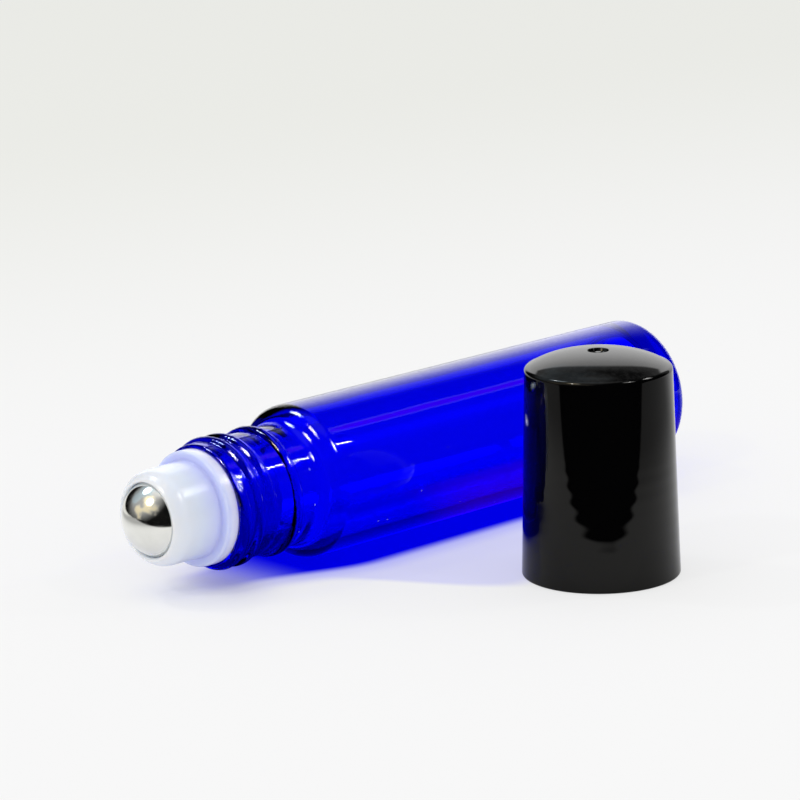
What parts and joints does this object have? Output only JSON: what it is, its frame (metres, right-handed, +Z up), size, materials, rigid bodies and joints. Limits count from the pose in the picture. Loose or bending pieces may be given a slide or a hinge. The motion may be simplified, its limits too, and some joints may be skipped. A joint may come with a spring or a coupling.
{
  "type": "roll-on bottle",
  "caption": "Glass roll-on bottle lying on its side, with a steel ball in a snap-in plastic housing and its screw cap standing beside it.",
  "frame": {"origin": "middle of the box round the bottle and its cap, at the height of the surface that they stand on", "axes": "+X along the bottle towards its base, +Z up, and the cap on the -Y side"},
  "size_m": [0.0862, 0.0516, 0.0273],
  "materials": {
    "cobalt_glass": "clear cobalt blue glass",
    "natural_plastic": "milky translucent polyethylene",
    "polished_steel": "mirror-polished stainless steel",
    "black_plastic": "glossy black moulding"
  },
  "bodies": {
    "bottle": {"glass_bottle": "cobalt_glass"},
    "housing": {"roller_housing": "natural_plastic"},
    "ball": {"roller_ball": "polished_steel"},
    "cap": {"cap": "black_plastic"}
  },
  "joints": [
    {"name": "housing_pull", "type": "slide", "parent": "bottle", "child": "housing", "axis": [-1, 0, 0], "range_m": [0, 0.014]},
    {"name": "ball_roll", "type": "hinge", "parent": "housing", "child": "ball", "pos_m": [-0.03813, 0.0163, 0.0095], "axis": [0, 1, 0], "continuous": true},
    {"name": "cap_lift", "type": "slide", "parent": "bottle", "child": "cap", "axis": [0, 0, 1], "range_m": [0, 0.06]}
  ]
}
